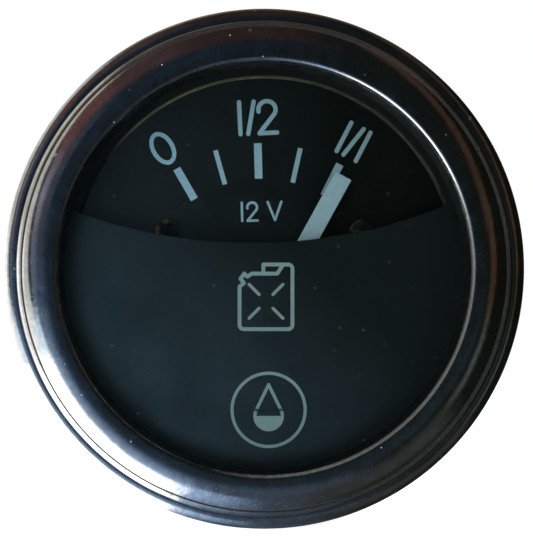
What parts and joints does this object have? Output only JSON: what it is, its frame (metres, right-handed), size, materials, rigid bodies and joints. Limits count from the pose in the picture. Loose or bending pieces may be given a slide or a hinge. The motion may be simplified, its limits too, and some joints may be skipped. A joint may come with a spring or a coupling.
{
  "type": "panel fuel gauge",
  "caption": "Round dashboard fuel gauge with a stepped chrome bezel, half-masked black dial, swinging pointer, two-coil movement and rear clamp.",
  "frame": {"origin": "on the gauge's axis, in the plane of the panel's front face, where the bezel seats", "axes": "+Y runs rearward out of the back of the case along its axis, -Y faces the driver, +Z is the top of the dial, +X is the full side"},
  "size_m": [0.06, 0.0551, 0.06],
  "materials": {
    "bezel_chrome": "polished, lightly tarnished and pitted",
    "clear_glass": "flat, polished",
    "seal_rubber": "matt",
    "ring_black": "satin black",
    "mask_paint": "matt blue-black, dusty",
    "dial_paint": "matt black",
    "scale_ink": "flat pale blue ink",
    "sign_ink": "flat grey-green ink",
    "pointer_paint": "white painted aluminium",
    "brass": "turned, slightly aged",
    "bush_bronze": "sintered bronze",
    "bright_steel": "ground",
    "soft_iron": "blued soft iron",
    "bobbin_plastic": "moulded",
    "copper_wire": "enamelled copper",
    "resistance_wire": "fine wound wire",
    "card_board": "pressed insulating board",
    "lead_sleeve": "red sleeve",
    "case_zinc": "zinc plated and passivated",
    "insulation": "brown moulded insulation",
    "tinned_brass": "tinned",
    "clamp_steel": "zinc plated strip",
    "spring_steel": "blackened",
    "holder_plate": "nickel plated",
    "bulb_glass": "clear",
    "tungsten": "drawn wire"
  },
  "bodies": {
    "gauge": {"bezel": "bezel_chrome", "glass": "clear_glass", "glass_seal": "seal_rubber", "glass_ring": "ring_black", "dial_ring": "ring_black", "mask": "mask_paint", "mask_print": "sign_ink", "dial_plate": "dial_paint", "dial_print": "scale_ink", "dial_screws": "brass", "dial_posts": "brass", "stop_pins": "bright_steel", "front_bearing_plate": "brass", "rear_bearing_plate": "brass", "front_bush": "bush_bronze", "rear_bush": "bush_bronze", "pillars": "bright_steel", "pillar_screws": "bright_steel", "empty_coil_core": "soft_iron", "full_coil_core": "soft_iron", "empty_coil_bobbin": "bobbin_plastic", "full_coil_bobbin": "bobbin_plastic", "empty_coil_winding": "copper_wire", "full_coil_winding": "copper_wire", "yoke_plates": "soft_iron", "resistor_card": "card_board", "resistor_winding": "resistance_wire", "card_rivets": "brass", "supply_lead": "lead_sleeve", "sender_lead": "lead_sleeve", "case": "case_zinc", "terminal_bushes": "insulation", "terminal_washers": "insulation", "supply_blade": "tinned_brass", "sender_blade": "tinned_brass", "terminal_rivets": "brass", "earth_blade": "tinned_brass", "earth_rivet": "brass", "clamp_studs": "bright_steel", "stud_locknuts": "bright_steel"},
    "needle": {"pointer": "pointer_paint", "pointer_hub": "brass", "counterweight": "brass", "spindle": "bright_steel", "armature": "soft_iron", "stop_arm": "brass"},
    "clamp": {"clamp_bridge": "clamp_steel", "spring_washers": "spring_steel"},
    "left_nut": {"left_clamp_nut": "brass"},
    "right_nut": {"right_clamp_nut": "brass"},
    "lamp_holder": {"lamp_holder_shell": "holder_plate", "lamp_holder_insulator": "insulation", "lamp_contact": "tinned_brass"},
    "bulb": {"bulb_base": "brass", "bulb_glass": "bulb_glass", "bulb_filament": "tungsten"}
  },
  "joints": [
    {"name": "pointer_swing", "type": "hinge", "parent": "gauge", "child": "needle", "pos_m": [0, 0.003, -0.0059], "axis": [0, 1, 0], "range_deg": [-60.8, 3.2]},
    {"name": "clamp_travel", "type": "slide", "parent": "gauge", "child": "clamp", "axis": [0, 1, 0], "range_m": [-0.0037, 0.003]},
    {"name": "left_nut_turn", "type": "hinge", "parent": "clamp", "child": "left_nut", "pos_m": [-0.018, 0.045, 0], "axis": [0, 1, 0], "range_deg": [-1902, 1542]},
    {"name": "right_nut_turn", "type": "hinge", "parent": "clamp", "child": "right_nut", "pos_m": [0.018, 0.045, 0], "axis": [0, 1, 0], "range_deg": [-1902, 1542]},
    {"name": "lamp_holder_pull", "type": "slide", "parent": "gauge", "child": "lamp_holder", "axis": [0, 1, 0], "range_m": [0, 0.024]},
    {"name": "bulb_pull", "type": "slide", "parent": "lamp_holder", "child": "bulb", "axis": [0, -1, 0], "range_m": [0, 0.01]}
  ],
  "couplings": [
    {"joint": "left_nut_turn", "follows": "clamp_travel", "rad_per_m": 8976},
    {"joint": "right_nut_turn", "follows": "clamp_travel", "rad_per_m": 8976}
  ]
}
